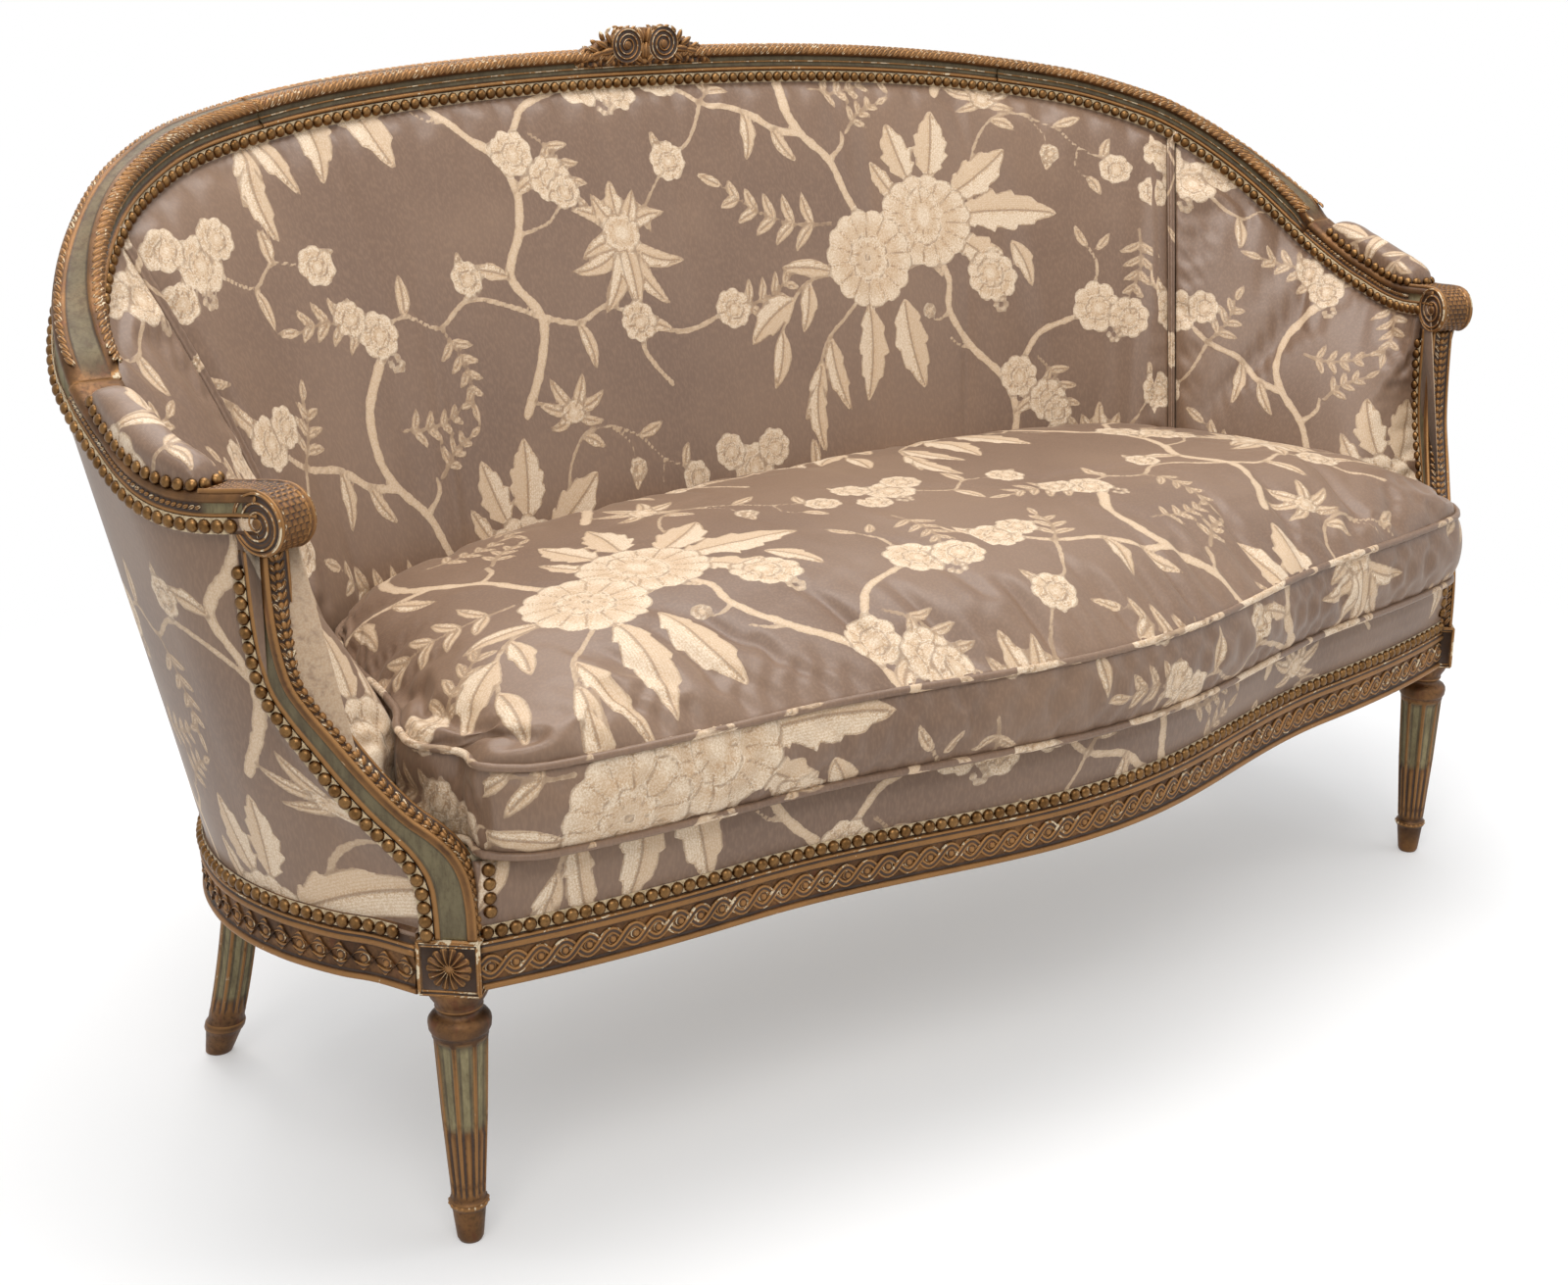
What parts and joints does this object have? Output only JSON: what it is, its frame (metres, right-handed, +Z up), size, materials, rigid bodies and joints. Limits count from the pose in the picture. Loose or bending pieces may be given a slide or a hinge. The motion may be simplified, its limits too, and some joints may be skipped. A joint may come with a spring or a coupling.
{
  "type": "basket-shaped upholstered settee",
  "caption": "Curved-back settee with a carved gilt show-wood frame, flowered upholstery, short padded scroll arms, fluted tapered front legs, raked rear legs and a loose seat cushion.",
  "frame": {"origin": "middle of the footprint's bounding box, on the floor", "axes": "+X along the width, to the right seen from the front; +Y from the front edge to the back; +Z up"},
  "size_m": [1.6484, 0.8334, 0.9722],
  "materials": {
    "gilded_wood": "worn brown-gold gilding over cream gesso, grey-green painted channels",
    "cover_fabric": "taupe satin with woven cream and gold flowering branches",
    "nail_braid": "antique brass domed nails on cream gimp braid",
    "plain_beech": "bare sanded beech",
    "webbing": "natural jute webbing"
  },
  "bodies": {
    "frame": {"front_seat_rail": "gilded_wood", "back_seat_rail": "gilded_wood", "right_side_rail": "gilded_wood", "left_side_rail": "gilded_wood", "right_front_leg": "gilded_wood", "left_front_leg": "gilded_wood", "right_rear_leg": "gilded_wood", "left_rear_leg": "gilded_wood", "right_arm_post": "gilded_wood", "left_arm_post": "gilded_wood", "right_arm": "gilded_wood", "left_arm": "gilded_wood", "top_rail_centre": "gilded_wood", "right_top_rail": "gilded_wood", "left_top_rail": "gilded_wood", "crest_ornament": "gilded_wood", "right_cross_rail": "plain_beech", "left_cross_rail": "plain_beech", "right_front_brace": "plain_beech", "left_front_brace": "plain_beech", "right_rear_brace": "plain_beech", "left_rear_brace": "plain_beech", "back_tack_rail": "plain_beech", "right_tack_rail": "plain_beech", "left_tack_rail": "plain_beech", "seat_webbing": "webbing", "seat_deck": "cover_fabric", "inside_back_pad": "cover_fabric", "right_inside_pad": "cover_fabric", "left_inside_pad": "cover_fabric", "right_seam_welt": "cover_fabric", "left_seam_welt": "cover_fabric", "outside_back_cover": "cover_fabric", "right_outside_cover": "cover_fabric", "left_outside_cover": "cover_fabric", "right_armrest_pad": "cover_fabric", "left_armrest_pad": "cover_fabric", "inside_gimp": "nail_braid", "outside_gimp": "nail_braid", "lower_gimp": "nail_braid", "front_gimp": "nail_braid", "right_post_outer_gimp": "nail_braid", "left_post_outer_gimp": "nail_braid", "right_post_inner_gimp": "nail_braid", "left_post_inner_gimp": "nail_braid"},
    "cushion": {"seat_cushion": "cover_fabric", "cushion_top_welt": "cover_fabric", "cushion_bottom_welt": "cover_fabric"}
  },
  "joints": [
    {"name": "cushion_lift", "type": "slide", "parent": "frame", "child": "cushion", "axis": [0, 0, 1], "range_m": [0, 0.3]}
  ]
}
